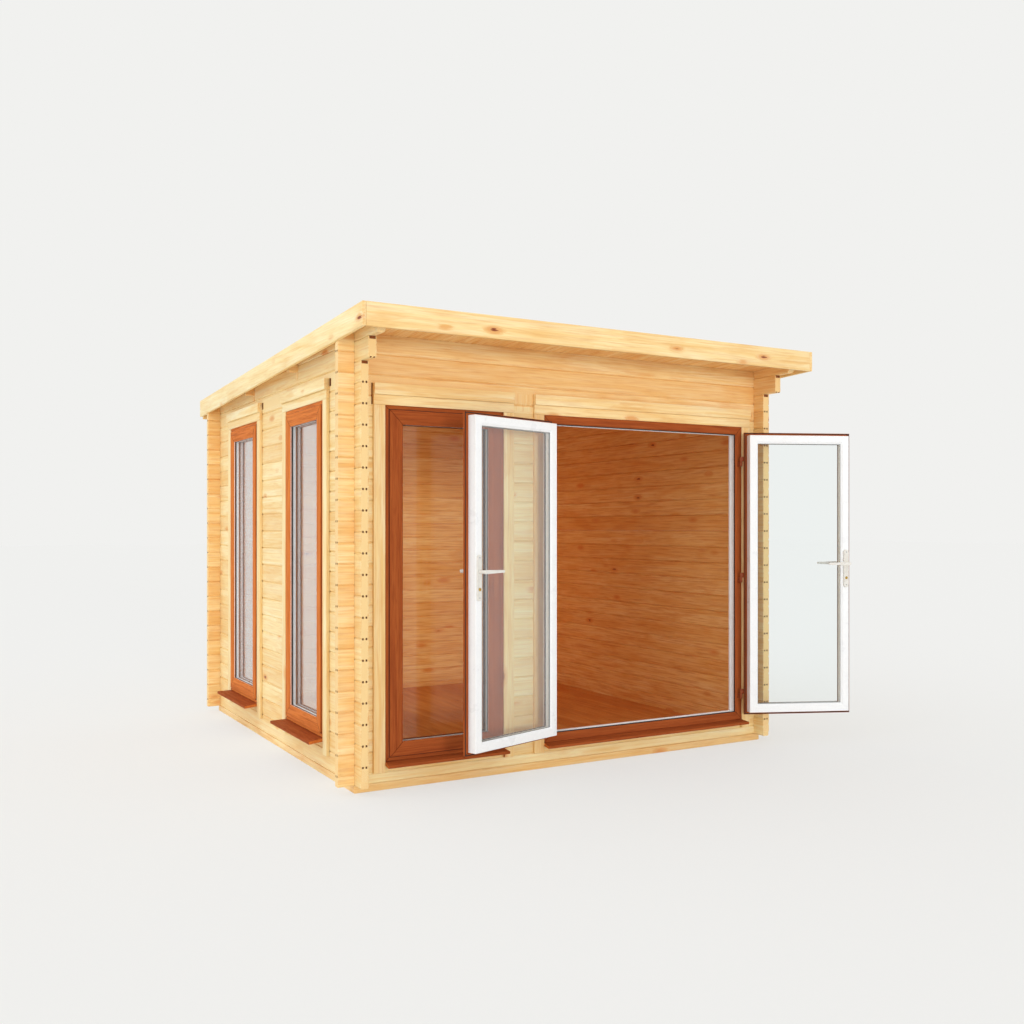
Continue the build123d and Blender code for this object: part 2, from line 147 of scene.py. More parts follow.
# Planed pine: growth rings and knots run through every log and board as a solid pattern; pale, warm and satin
pineLook = {
    "pale": "FFF4C8", "mid": "FDE8AE", "deep": "F4D088", "heart": "EDBA6A", "fibre": "D8924E",
    "knotHalo": "E0903F", "knot": "8A4420",
    "warmAndShadeTint": "FCD8B0",  # painted shade on the room side, and on the logs that the roof shelters
    "apart": (37.0, 17.0, 53.0), "streakLength": 800 * mm, "streakWidth": 36 * mm,
    "patchLength": 420 * mm, "patchWidth": 95 * mm,
    "fineLength": 220 * mm, "fineWidth": 9 * mm,  # real fibres are finer than 1 mm, drawn coarser to show
    "ringPitch": 11 * mm,  # real rings are 3 to 5 mm apart, drawn coarser to show
    # plain, and at full warmth with painted shade
    "ringWander": 5.0, "ringShare": 0.13, "toneShare": 0.42, "haloShare": 0.7,
    "patchShares": (0.4, 0.75), "fineShares": (0.22, 0.85),  # plain and warmed
    "knotPitch": 120 * mm, "knotRadius": 9 * mm, "coreRadius": 6.3 * mm, "haloRadius": 30 * mm,
    "knotStretch": 2.6, "raggedness": 0.22, "plainShare": 0.53, "coreShare": 0.67,
    "roughness": (0.5, 0.68), "relief": 0.6 * mm, "strength": 0.25,
}
# Floorboards: the same pine, drawn darker as painted shade for the room inside
floorLook = {**pineLook, "pale": "F0C482", "mid": "E6AC64", "deep": "D08F48", "heart": "C8823C"}


def pineMaterial(name, look):
    material, tree, shader = startMaterial(name, {"IOR": 1.5})
    heart, tone, warmth, grain = grainOf(tree, look["apart"])
    fine = drawnOut(tree, grain, look, "fine", {"Detail": 3.0, "Roughness": 0.6})
    # knots sit in some of the cells, each in a darker halo drawn out along the board
    perKnot = 1 / look["knotPitch"]
    core, edge, rim = (look[kind + "Radius"] * perKnot for kind in ("core", "knot", "halo"))
    knotScale = (perKnot / look["knotStretch"], perKnot, perKnot)
    knotCo = addNode(tree, "ShaderNodeVectorMath", {0: grain, 1: knotScale}, operation="MULTIPLY")
    cells = addNode(tree, "ShaderNodeTexVoronoi", {"Vector": knotCo, "Scale": 1.0})
    ragged = addNode(tree, "ShaderNodeMath", {0: fine, 1: 0.5}, operation="SUBTRACT")
    knotAway = {0: ragged, 1: look["raggedness"], 2: cells.outputs["Distance"]}
    away = addNode(tree, "ShaderNodeMath", knotAway, operation="MULTIPLY_ADD")
    luck = cells.outputs["Color"]
    stained = addNode(tree, "ShaderNodeMath", {0: luck, 1: look["plainShare"]}, operation="GREATER_THAN")
    cored = addNode(tree, "ShaderNodeMath", {0: luck, 1: look["coreShare"]}, operation="GREATER_THAN")
    knotEdge = addNode(tree, "ShaderNodeMapRange", {"Value": away, 1: core, 2: edge, 3: 1.0, 4: 0.0})
    haloEdge = addNode(tree, "ShaderNodeMapRange", {"Value": away, 1: core, 2: rim, 3: 1.0, 4: 0.0})
    haloEdge.interpolation_type = "SMOOTHSTEP"
    knot = addNode(tree, "ShaderNodeMath", {0: knotEdge, 1: cored}, operation="MULTIPLY")
    halo = addNode(tree, "ShaderNodeMath", {0: haloEdge, 1: stained}, operation="MULTIPLY").outputs[0]
    # streaks and broader patches along the board, bent round the knots
    streaks = drawnOut(tree, grain, look, "streak", {"Detail": 4.0, "Distortion": 1.0}, halo)
    patches = drawnOut(tree, grain, look, "patch", {"Detail": 3.0, "Distortion": 0.8}, halo)
    # growth rings about the heart of the tree
    flat = addNode(tree, "ShaderNodeVectorMath", {0: heart, 1: (0.0, 1.0, 1.0)}, operation="MULTIPLY")
    radius = addNode(tree, "ShaderNodeVectorMath", {0: flat}, operation="LENGTH").outputs["Value"]
    wander = addNode(tree, "ShaderNodeMath", {0: patches, 1: look["ringWander"]}, operation="MULTIPLY")
    ringTurns = {0: radius, 1: 1 / look["ringPitch"], 2: wander}
    turns = addNode(tree, "ShaderNodeMath", ringTurns, operation="MULTIPLY_ADD")
    angle = addNode(tree, "ShaderNodeMath", {0: turns, 1: 2 * math.pi}, operation="MULTIPLY")
    wave = addNode(tree, "ShaderNodeMath", {0: angle}, operation="SINE")
    ring = addNode(tree, "ShaderNodeMapRange", {"Value": wave, 1: -0.2, 4: look["ringShare"]})
    # colour, layer by layer
    stops = [(0.25, look["deep"]), (0.48, look["mid"]), (0.72, look["pale"])]
    colour = addNode(tree, "ShaderNodeValToRGB", {0: streaks}, stops=stops).outputs[0]
    toneShare = addNode(tree, "ShaderNodeMapRange", {"Value": tone, 1: 0.35, 4: look["toneShare"]})
    plain, strong = look["patchShares"]
    figure = addNode(tree, "ShaderNodeMapRange", {"Value": warmth, 3: plain, 4: strong})
    patchShare = addNode(tree, "ShaderNodeMapRange", {"Value": patches, 1: 0.48, 2: 0.72, 4: figure})
    plain, strong = look["fineShares"]
    fibre = addNode(tree, "ShaderNodeMapRange", {"Value": warmth, 3: plain, 4: strong})
    fineShare = addNode(tree, "ShaderNodeMapRange", {"Value": fine, 1: 0.46, 2: 0.76, 4: fibre})
    haloShare = addNode(tree, "ShaderNodeMath", {0: halo, 1: look["haloShare"]}, operation="MULTIPLY")
    layers = (
        (toneShare, "heart"), (patchShare, "heart"), (ring, "heart"), (fineShare, "fibre"),
        (haloShare, "knotHalo"), (knot, "knot"),
    )
    colour = warmedAndShaded(tree, overlaid(tree, colour, look, layers), look, warmth)
    height = addNode(tree, "ShaderNodeMath", {0: fine, 1: ring}, operation="ADD")
    setSurface(tree, shader, colour, look["roughness"], fine, height, look["relief"], look["strength"])
    return material


# Oak foil: a printed film on moulded plastic, its grain along each member and its face embossed; golden brown
foilLook = {
    "pale": "E68C44", "mid": "D97C3C", "deep": "AA592C", "line": "4A2010",
    "warmAndShadeTint": "C4B0BC",  # painted shade: the front's frames are tinted darker than the left side's
    "apart": (31.0, 11.0, 43.0), "streakLength": 420 * mm, "streakWidth": 14 * mm, "poreLength": 90 * mm,
    "poreWidth": 5.5 * mm,  # real pores are under 1 mm wide, drawn coarser to show
    "poreShare": 0.45, "mitreLine": 3 * mm, "roughness": (0.5, 0.65), "relief": 0.4 * mm, "strength": 0.2,
}


def foilMaterial(name, look):
    material, tree, shader = startMaterial(name, {"IOR": 1.53, "Specular IOR Level": 0.02})
    heart, tone, warmth, grain = grainOf(tree, look["apart"])
    mitre = addNode(tree, "ShaderNodeAttribute", attribute_name="mitreGap").outputs["Fac"]
    streaks = drawnOut(tree, grain, look, "streak", {"Detail": 4.0, "Distortion": 0.6})
    pores = drawnOut(tree, grain, look, "pore", {"Detail": 2.0})
    stops = [(0.2, look["deep"]), (0.48, look["mid"]), (0.76, look["pale"])]
    colour = addNode(tree, "ShaderNodeValToRGB", {0: streaks}, stops=stops).outputs[0]
    poreShare = addNode(tree, "ShaderNodeMapRange", {"Value": pores, 1: 0.48, 2: 0.7, 4: look["poreShare"]})
    seam = addNode(tree, "ShaderNodeMath", {0: mitre, 1: look["mitreLine"]}, operation="LESS_THAN")
    colour = overlaid(tree, colour, look, ((poreShare, "deep"), (seam, "line")))
    colour = warmedAndShaded(tree, colour, look, warmth)
    setSurface(tree, shader, colour, look["roughness"], pores, pores, look["relief"], look["strength"])
    return material


mottleLook = {"specks": 12, "darkTo": 0.12, "lightFrom": 0.3, "strength": 0.3}  # specks in a patch


def mottledMaterial(name, light, dark, patch, roughness, relief, values):
    # plain stuff whose shade, gloss and surface vary a little over patches of the given size
    material, tree, shader = startMaterial(name, values)
    spot = addNode(tree, "ShaderNodeTexCoord").outputs["Object"]
    clouds = {"Vector": spot, "Scale": 1 / patch, "Detail": 4.0, "Roughness": 0.6}
    cloud = addNode(tree, "ShaderNodeTexNoise", clouds)
    specks = {"Vector": spot, "Scale": mottleLook["specks"] / patch, "Detail": 2.0}
    speck = addNode(tree, "ShaderNodeTexNoise", specks)
    mixed = addNode(tree, "ShaderNodeMath", {0: cloud, 1: speck}, operation="MULTIPLY")
    stops = [(mottleLook["darkTo"], dark), (mottleLook["lightFrom"], light)]
    colour = addNode(tree, "ShaderNodeValToRGB", {0: mixed}, stops=stops).outputs[0]
    setSurface(tree, shader, colour, roughness, cloud, speck, relief, mottleLook["strength"])
    return material


# Float glass: clear and mirror smooth; mirrors little when looked at straight, half the view at a slant
glassLook = {"tint": "FEFFFF", "straight": 0.012, "slantPower": 2.2}
coatedLook = {**glassLook, "straight": 0.006, "slantPower": 11.0}  # outer sheets hardly mirror


def glassMaterial(name, look):
    material, tree, shader = startMaterial(name, {})
    tree.nodes.remove(shader)
    slant = addNode(tree, "ShaderNodeLayerWeight", {"Blend": 0.5}).outputs["Facing"]
    steep = addNode(tree, "ShaderNodeMath", {0: slant, 1: look["slantPower"]}, operation="POWER")
    share = addNode(tree, "ShaderNodeMapRange", {"Value": steep, 3: look["straight"], 4: 1.0})
    clear = addNode(tree, "ShaderNodeBsdfTransparent", {"Color": linearColour(look["tint"])})
    mirror = addNode(tree, "ShaderNodeBsdfAnisotropic", {"Color": (1, 1, 1, 1), "Roughness": 0.0})
    mixed = addNode(tree, "ShaderNodeMixShader", {0: share, 1: clear, 2: mirror})
    tree.links.new(mixed.outputs[0], tree.nodes["Material Output"].inputs["Surface"])
    return material


pine = pineMaterial("planedPine", pineLook)
floorPine = pineMaterial("floorPineWithPaintedShade", floorLook)
foil = foilMaterial("oakFoil", foilLook)
glass = glassMaterial("floatGlass", glassLook)
coatedGlass = glassMaterial("coatedGlass", coatedLook)
# extruded plastic: bright, even and glossy
whitePlastic = mottledMaterial(
    "whitePlastic", "FAFBFB", "F4F5F6", 90 * mm, (0.26, 0.36), 0.02 * mm, {"IOR": 1.53}
)
# extruded rubber: matt and nearly black, or the pale grey kind used beside white plastic
blackRubber = mottledMaterial("blackRubber", "1B1B1B", "101010", 20 * mm, (0.55, 0.7), 0.1 * mm, {"IOR": 1.52})
greyRubber = mottledMaterial("greyRubber", "8F9394", "7E8283", 20 * mm, (0.55, 0.7), 0.1 * mm, {"IOR": 1.52})
# pale plastic strip that keeps the two sheets of a glazing unit apart
spacerStrip = mottledMaterial("spacerStrip", "F9FAFB", "EEF1F3", 15 * mm, (0.4, 0.5), 0.05 * mm, {"IOR": 1.5})
# stoved enamel on castings: off-white, softly glossy
creamPaint = mottledMaterial("creamEnamel", "EBE8E1", "DEDAD1", 25 * mm, (0.28, 0.4), 0.06 * mm, {"IOR": 1.5})
# powder coat on steel: brown, slightly rough
brownPaint = mottledMaterial(
    "brownPowderCoat", "9A4C28", "7E3C1E", 18 * mm, (0.45, 0.6), 0.08 * mm, {"IOR": 1.4}
)
# turned brass and plated steel: bright metals with fine wear
brass = mottledMaterial("turnedBrass", "D9B25A", "BE923B", 6 * mm, (0.22, 0.34), 0.04 * mm, {"Metallic": 1.0})
zinc = mottledMaterial("zincPlate", "B9BDC0", "979CA0", 8 * mm, (0.3, 0.45), 0.05 * mm, {"Metallic": 1.0})
# rubber sheet on the roof: matt, dusty, nearly black
membrane = mottledMaterial("roofRubber", "3B3C3E", "2B2C2E", 120 * mm, (0.7, 0.85), 0.4 * mm, {"IOR": 1.52})
# brown sealant along the back of that strip in the windows: dull and rubbery
sealant = mottledMaterial("brownSealant", "B0703E", "96582C", 15 * mm, (0.5, 0.65), 0.08 * mm, {"IOR": 1.45})
# wood inside a milled groove: rough, and drawn dark as painted shade
grooveWoodPaintedShade = mottledMaterial("grooveWoodPaintedShade", "9A5626", "743C1A", 12 * mm, (0.7, 0.85), 0.3 * mm, {"IOR": 1.5})
print("materials ready")

# How meshes are read and finished: distances under which points or levels are one, and angles in degrees
meshCare = {
    "samePoint": 0.02 * mm, "sameLevel": 0.2 * mm, "flatTurn": 0.5, "softTurn": 25, "sharpTurn": 28,
    "softSteps": 2,
}
# Fixed seeds for tones and grain; a group of pieces counts up from its own
seeds = {
    "walls": 11, "boards": 41, "floor": 61, "roof": 62, "frames": 71, "sashes": 81, "sills": 91,
    "doorFrame": 101, "doorSill": 103, "leaves": 111, "braces": 131,
}


def pieceName(nodeName):
    first, *rest = nodeName.split("_")
    return first + "".join(word.title() for word in rest)


def newPiece(name, mesh, *materials):
    piece = bpy.data.objects.new(name, mesh)
    for material in materials:
        mesh.materials.append(material)
    bpy.context.scene.collection.objects.link(piece)
    return piece


def copyOf(nodeName, *materials):
    # a merged copy of a CAD node, with its flat faces whole again
    bm = bmesh.new()
    bm.from_mesh(nodes[nodeName].data)
    bmesh.ops.remove_doubles(bm, verts=bm.verts, dist=meshCare["samePoint"])
    flat = math.radians(meshCare["flatTurn"])
    bmesh.ops.dissolve_limit(bm, angle_limit=flat, verts=bm.verts, edges=bm.edges)
    mesh = bpy.data.meshes.new(pieceName(nodeName))
    bm.to_mesh(mesh)
    bm.free()
    return newPiece(pieceName(nodeName), mesh, *materials)


def settle(piece):
    # modifiers become part of a plain mesh
    graph = bpy.context.evaluated_depsgraph_get()
    mesh = bpy.data.meshes.new_from_object(piece.evaluated_get(graph))
    piece.modifiers.clear()
    piece.data = mesh


def soften(piece, width, leastTurn=meshCare["softTurn"]):
    bevel = piece.modifiers.new("softEdges", "BEVEL")
    bevel.width = width
    bevel.segments = meshCare["softSteps"]
    bevel.limit_method = "ANGLE"
    bevel.angle_limit = math.radians(leastTurn)
    settle(piece)
    piece.data.shade_smooth()
    piece.data.set_sharp_from_angle(angle=math.radians(meshCare["sharpTurn"]))


def carve(piece, cutter):
    cut = piece.modifiers.new("carved", "BOOLEAN")
    cut.operation = "DIFFERENCE"
    cut.solver = "EXACT"
    cut.material_mode = "TRANSFER"  # the cut faces keep the cutter's material
    cut.object = cutter
    settle(piece)
    bpy.data.objects.remove(cutter)


def loosePartsOf(mesh):
    # lists of vertex numbers, one for each loose part
    parent = list(range(len(mesh.vertices)))

    def root(i):
        while parent[i] != i:
            parent[i] = parent[parent[i]]
            i = parent[i]
        return i

    for edge in mesh.edges:
        parent[root(edge.vertices[0])] = root(edge.vertices[1])
    groups = {}
    for i in range(len(mesh.vertices)):
        groups.setdefault(root(i), []).append(i)
    return sorted(groups.values(), key=lambda group: tuple(round(c, 4) for c in mesh.vertices[group[0]].co))


def boxOf(points):
    low = Vector([min(p[k] for p in points) for k in range(3)])
    high = Vector([max(p[k] for p in points) for k in range(3)])
    return low, high


def partBoxes(mesh):
    return [boxOf([mesh.vertices[i].co for i in group]) for group in loosePartsOf(mesh)]


# Where a board's heart may lie, as shares of its width and of a distance; cut ends are alike on all boards
boardGrain = {
    "heartAcross": 0.6, "heartDeep": (0.4, 1.0), "heartAway": 70 * mm, "endTurn": 0.6, "endWarmth": 0.3,
}


def giveGrain(piece, seed, warmthAndShadeAt):
    # each loose part is one board: grain along its longest side, its own tone and its own heart
    mesh = piece.data
    shuffle = random.Random(seed)
    mesh.attributes.new("heartCo", "FLOAT_VECTOR", "POINT")
    mesh.attributes.new("boardTone", "FLOAT", "POINT")
    mesh.attributes.new("mitreGap", "FLOAT", "POINT")
    mesh.attributes.new("boardWarmthAndShade", "FLOAT", "FACE")
    grainAxis = [0] * len(mesh.vertices)
    mesh.attributes["mitreGap"].data.foreach_set("value", [1.0] * len(mesh.vertices))  # no mitre near
    heart, tone = mesh.attributes["heartCo"], mesh.attributes["boardTone"]
    for group in loosePartsOf(mesh):
        low, high = boxOf([mesh.vertices[i].co for i in group])
        size = high - low
        along, wide, thick = sorted(range(3), key=lambda k: -size[k])
        middle = (low + high) / 2
        share = boardGrain["heartAcross"]
        heartAcross = shuffle.uniform(-share, share) * size[wide]
        heartSide = shuffle.choice((-1, 1))
        heartDeep = heartSide * shuffle.uniform(*boardGrain["heartDeep"]) * boardGrain["heartAway"]
        value = shuffle.random()
        for i in group:
            p = mesh.vertices[i].co - middle
            heart.data[i].vector = (p[along], p[wide] - heartAcross, p[thick] - heartDeep)
            tone.data[i].value = value
            grainAxis[i] = along
    warmthAndShadeValues = mesh.attributes["boardWarmthAndShade"]
    for polygon in mesh.polygons:
        endFace = abs(polygon.normal[grainAxis[polygon.vertices[0]]]) > boardGrain["endTurn"]
        warmth = warmthAndShadeAt(polygon.center) if callable(warmthAndShadeAt) else warmthAndShadeAt
        warmthAndShadeValues.data[polygon.index].value = boardGrain["endWarmth"] if endFace else warmth


def place(piece, body, slot, *replaced):
    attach(piece, body)
    if replaced:
        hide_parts(*replaced)


def treeWith(name, inputs):
    tree = bpy.data.node_groups.new(name, "GeometryNodeTree")
    sockets = {}
    for label, kind in inputs.items():
        socket = tree.interface.new_socket(label, in_out="INPUT", socket_type="NodeSocket" + kind)
        sockets[label] = socket.identifier
    tree.interface.new_socket("Geometry", in_out="OUTPUT", socket_type="NodeSocketGeometry")
    return tree, sockets, addNode(tree, "NodeGroupInput").outputs


def endTree(tree, copies, finish):
    whole = addNode(tree, "GeometryNodeRealizeInstances", {"Geometry": copies})
    done = addNode(tree, "GeometryNodeSetMaterial", {"Geometry": whole, "Material": finish})
    addNode(tree, "NodeGroupOutput", {"Geometry": done})


def boardRowTree():
    inputs = {"Count": "Int", "Pitch": "Float", "Board": "Object", "Finish": "Material"}
    tree, sockets, given = treeWith("boardRow", inputs)
    step = addNode(tree, "ShaderNodeCombineXYZ", {"X": given["Pitch"]})
    line = addNode(tree, "GeometryNodeMeshLine", {"Count": given["Count"], "Offset": step})
    board = addNode(tree, "GeometryNodeObjectInfo", {"Object": given["Board"]}).outputs["Geometry"]
    row = addNode(tree, "GeometryNodeInstanceOnPoints", {"Points": line, "Instance": board})
    endTree(tree, row, given["Finish"])
    return tree, sockets


def repeatTree():
    inputs = {"Geometry": "Geometry", "Piece": "Object", "Finish": "Material"}
    tree, sockets, given = treeWith("repeatAtPoints", inputs)
    points = addNode(tree, "GeometryNodeMeshToPoints", {"Mesh": given["Geometry"]})
    turn = addNode(tree, "GeometryNodeInputNamedAttribute", {"Name": "turn"}, data_type="FLOAT_VECTOR")
    turned = addNode(tree, "FunctionNodeEulerToRotation", {"Euler": turn.outputs["Attribute"]})
    piece = addNode(tree, "GeometryNodeObjectInfo", {"Object": given["Piece"]}).outputs["Geometry"]
    spread = {"Points": points, "Instance": piece, "Rotation": turned}
    copies = addNode(tree, "GeometryNodeInstanceOnPoints", spread)
    endTree(tree, copies, given["Finish"])
    return tree, sockets


boardRow, boardRowInputs = boardRowTree()
repeatAtPoints, repeatInputs = repeatTree()


def runTree(name, mesh, tree, sockets, values):
    # the part that the tree repeats is used up
    piece = newPiece(name, mesh)
    modifier = piece.modifiers.new(name, "NODES")
    modifier.node_group = tree
    for label, value in values.items():
        modifier[sockets[label]] = value
    settle(piece)
    finish = values["Finish"]
    piece.data.materials.clear()
    piece.data.materials.append(finish)
    for polygon in piece.data.polygons:
        polygon.material_index = 0
    bpy.data.objects.remove(values.get("Piece") or values["Board"])
    return piece


def repeated(name, part, spots, finish):
    # spots: pairs of a place and a turn
    mesh = bpy.data.meshes.new(name)
    mesh.from_pydata([spot for spot, turn in spots], [], [])
    turns = mesh.attributes.new("turn", "FLOAT_VECTOR", "POINT")
    for i, (spot, turn) in enumerate(spots):
        turns.data[i].vector = turn
    return runTree(name, mesh, repeatAtPoints, repeatInputs, {"Piece": part, "Finish": finish})


def solidMesh(name, build):
    bm = bmesh.new()
    build(bm)
    bmesh.ops.recalc_face_normals(bm, faces=bm.faces)
    mesh = bpy.data.meshes.new(name)
    bm.to_mesh(mesh)
    bm.free()
    return mesh


def joinLoops(bm, loops):
    # loops of points are joined one to the next by faces and capped at both ends
    rounds = [[bm.verts.new(point) for point in loop] for loop in loops]
    faces = []
    for loop, after in zip(rounds, rounds[1:]):
        for i in range(len(loop)):
            j = (i + 1) % len(loop)
            faces.append(bm.faces.new((loop[i], loop[j], after[j], after[i])))
    return faces + [bm.faces.new(rounds[0]), bm.faces.new(rounds[-1])]


def prismPiece(name, rounds):
    # closed outlines along X, each a distance and its points
    loops = [[(x, y, z) for y, z in outline] for x, outline in rounds]
    return newPiece(name, solidMesh(name, lambda bm: joinLoops(bm, loops)))


def cutterPiece(name, outline, reach):
    # reaches as far on either side of where it is put
    return prismPiece(name, [(-reach, outline), (reach, outline)])


def roundOutline(radius, count, length=0.0):
    # a circle of so many points, or with a length a slot of that length along Z
    points = []
    for i in range(count):
        angle = 2 * math.pi * (i + 0.5) / count
        shift = math.copysign(length / 2, math.sin(angle))
        points.append((radius * math.cos(angle), radius * math.sin(angle) + shift))
    return points


def boxOutline(width, height):
    return [(y * width / 2, z * height / 2) for y, z in ((-1, -1), (1, -1), (1, 1), (-1, 1))]


# Log walls: soft arrises, and the two grooves of every log joint, which show as small holes at the log ends
logWalls = {
    "arris": 1.2 * mm,
    "arrisTurn": 60,  # only edges that turn by more degrees are softened, so that the log joints stay tight
    "holeSpacing": 19 * mm,
    "slant": 50 * mm,  # of the cut under the front ends of the top side logs
    # width, height and depth of each kind of cut
    "jointHole": (9 * mm, 11 * mm, 12 * mm),
    "corbelRebate": (34 * mm, 16 * mm, 5 * mm),  # shallow recess under the step of a corbel, lined with the dark groove wood as painted shade
    "frontSlot": (7 * mm, 112 * mm, 8 * mm),  # narrow slot beside a head board, lined with the dark groove wood as painted shade along the trim's edge
    # the same painted shade slot beside each left window's head board
    "leftSlot": (24 * mm, 44 * mm, 16 * mm),
    "leastStep": 20 * mm, "levelEase": 4 * mm,  # what counts as a corbel's step, and as the same level
    # warmth of the log faces: on the room side and under the roof it is painted shade
    "paintedRoomShade": 1.0, "paintedOverhangShade": 0.42, "cornerWarmth": 0.4, "outsideWarmth": 0.06,
    "shelteredFrom": 2.05,  # metres up the front, where the roof hangs over and the painted shade begins
    "cornerFrom": 30 * mm,  # from the middle of a side wall outwards
}


def wallLine(nodeName, axis):
    return sum(corner[axis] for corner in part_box(nodeName)) / 2


frontY, backY = wallLine("front_wall_logs", 1), wallLine("back_wall_logs", 1)
leftX, rightX = wallLine("left_wall_logs", 0), wallLine("right_wall_logs", 0)
groundZ = cadBox[0].z
# the axis that a wall's logs run along, the wall's line and the lines of the walls that cross it
walls = {
    "front_wall_logs": (0, frontY, (leftX, rightX)),
    "back_wall_logs": (0, backY, (leftX, rightX)),
    "left_wall_logs": (1, leftX, (frontY, backY)),
    "right_wall_logs": (1, rightX, (frontY, backY)),
}


def jointHoles(mesh, axis, line, crossings):
    # where the grooves under each log come out at its ends beyond the crossing walls
    boxes = partBoxes(mesh)
    topUnder = max(low.z for low, high in boxes)
    spots = []
    for low, high in boxes:
        if low.z < groundZ + logWalls["slant"]:
            continue
        for tip, crossing, outward in ((low[axis], crossings[0], -1), (high[axis], crossings[1], 1)):
            if (tip - crossing) * outward < 0:
                continue
            slanted = axis == 1 and outward < 0 and low.z > topUnder - logWalls["levelEase"]
            back = logWalls["slant"] / 2 if slanted else 0.0
            turn = (0, -math.pi / 4 if slanted else 0, axis * math.pi / 2)
            for side in (-0.5, 0.5):
                spot = Vector((0, 0, low.z + back))
                spot[axis] = tip - outward * back
                spot[1 - axis] = line + side * logWalls["holeSpacing"]
                spots.append((spot, turn))
    return spots


def shadeRebatesUnderCorbels(mesh):
    # at the top of a side log's front end, where the log above it steps out: a recess of painted shade
    boxes = partBoxes(mesh)
    spots = []
    for low, high in boxes:
        stepY = low.y - logWalls["leastStep"]
        above = [b for b, top in boxes if abs(b.z - high.z) < logWalls["levelEase"] and b.y < stepY]
        if above and low.y < frontY:
            spot = ((low.x + high.x) / 2, low.y, high.z - logWalls["corbelRebate"][1] / 2)
            spots.append((spot, (0, 0, math.pi / 2)))
    return spots


def trimShadeSlots(label, axis, *trims):
    # beside the end of each head board that lies nearer the front left corner: a slot of painted shade
    width, height, depth = logWalls[label]
    spots = []
    for low, high in (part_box(name) for name in trims):
        spot = Vector((0, 0, high.z - height / 2))
        spot[axis], spot[1 - axis] = low[axis] - width / 2, high[1 - axis]
        spots.append((spot, (0, 0, (1 - axis) * math.pi / 2)))
    return spots


def splitAt(piece, axis, levels):
    # new edges round the piece, so that its faces can differ beyond a level
    bm = bmesh.new()
    bm.from_mesh(piece.data)
    for level in levels:
        spot, across = Vector(), Vector()
        spot[axis], across[axis] = level, 1.0
        bmesh.ops.bisect_plane(bm, geom=[*bm.verts, *bm.edges, *bm.faces], plane_co=spot, plane_no=across)
    bm.to_mesh(piece.data)
    bm.free()


# painted shade inside the room and on the front logs under the roof; log ends beyond the side walls and the
# rest outside get less
def logWarmthAndShade(spot):
    betweenSides = leftX < spot.x < rightX
    if betweenSides and frontY < spot.y < backY:
        return logWalls["paintedRoomShade"]
    if betweenSides and spot.y < frontY and spot.z > logWalls["shelteredFrom"]:
        return logWalls["paintedOverhangShade"]
    away = min(abs(spot.x - leftX), abs(spot.x - rightX))
    atCorner = away > logWalls["cornerFrom"] and not betweenSides
    return logWalls["cornerWarmth"] if atCorner else logWalls["outsideWarmth"]


for number, (nodeName, (axis, line, crossings)) in enumerate(walls.items()):
    wall = copyOf(nodeName, pine, grooveWoodPaintedShade)
    soften(wall, logWalls["arris"], logWalls["arrisTurn"])
    splitAt(wall, axis, crossings)
    splitAt(wall, 1 - axis, [line + side * logWalls["holeSpacing"] for side in (-0.5, 0.5)])
    giveGrain(wall, seeds["walls"] + number, logWarmthAndShade)
    cuts = {"jointHole": jointHoles(wall.data, axis, line, crossings)}
    if axis == 1:
        cuts["corbelRebate"] = shadeRebatesUnderCorbels(wall.data)
    if nodeName == "front_wall_logs":
        cuts["frontSlot"] = trimShadeSlots("frontSlot", axis, "front_window_trim")
    if nodeName == "left_wall_logs":
        cuts["leftSlot"] = trimShadeSlots("leftSlot", axis, "left_front_window_trim", "left_rear_window_trim")
    for label, spots in cuts.items():
        width, height, depth = logWalls[label]
        cutter = cutterPiece(label, boxOutline(width, height), depth)
        carve(wall, repeated(label + "s", cutter, spots, grooveWoodPaintedShade))
    place(wall, "cabin", "planed_pine", nodeName)
print("log walls done")

# Trim and edge boards keep the shape of their CAD node: soft arrises and grain along each board
boards = {
    "arris": 2 * mm,
    # painted shade: each board's warmth darkens it for the light it lacks; the left side's boards get none, the
    # purlins under the roof the most
    "warmth": {
        "floor_bearers": 0.3, "roof_purlins": 0.6, "front_fascia": 0.3, "back_fascia": 0.2,
        "left_barge_board": 0.0, "right_barge_board": 0.2, "front_window_trim": 0.28,
        "left_front_window_trim": 0.0, "left_rear_window_trim": 0.0, "door_trim": 0.28,
    },
}
purlinEnds = {"lift": 40 * mm, "fromWall": 24 * mm}  # beyond the walls the purlins are cut shallower


def shortenPurlins(piece):
    boxes = partBoxes(piece.data)
    low, high = boxes[0]
    reach = leftX - purlinEnds["fromWall"] - low.x
    outline = boxOutline(2 * (high.y - low.y), 2 * purlinEnds["lift"])
    spots = [((x, (low.y + high.y) / 2, low.z), (0, 0, 0)) for low, high in boxes for x in (low.x, high.x)]
    carve(piece, repeated("purlinCuts", cutterPiece("purlinCut", outline, reach), spots, pine))


for number, (nodeName, warmth) in enumerate(boards["warmth"].items()):
    board = copyOf(nodeName, pine)
    if nodeName == "roof_purlins":
        shortenPurlins(board)
    soften(board, boards["arris"])
    giveGrain(board, seeds["boards"] + number, warmth)
    place(board, "cabin", "planed_pine", nodeName)
print("trim and edge boards done")

# Floorboards and roof boards: one board repeated in a row, chamfered on the face that shows
# the warmth of both rows is painted shade: the floor inside the room, the roof boards under the roof
floorBoards = {"width": 118 * mm, "gap": 1.5 * mm, "chamfer": 2.5 * mm, "warmth": 0.8}
roofBoards = {"width": 96 * mm, "gap": 0.8 * mm, "chamfer": 5 * mm, "warmth": 0.65}


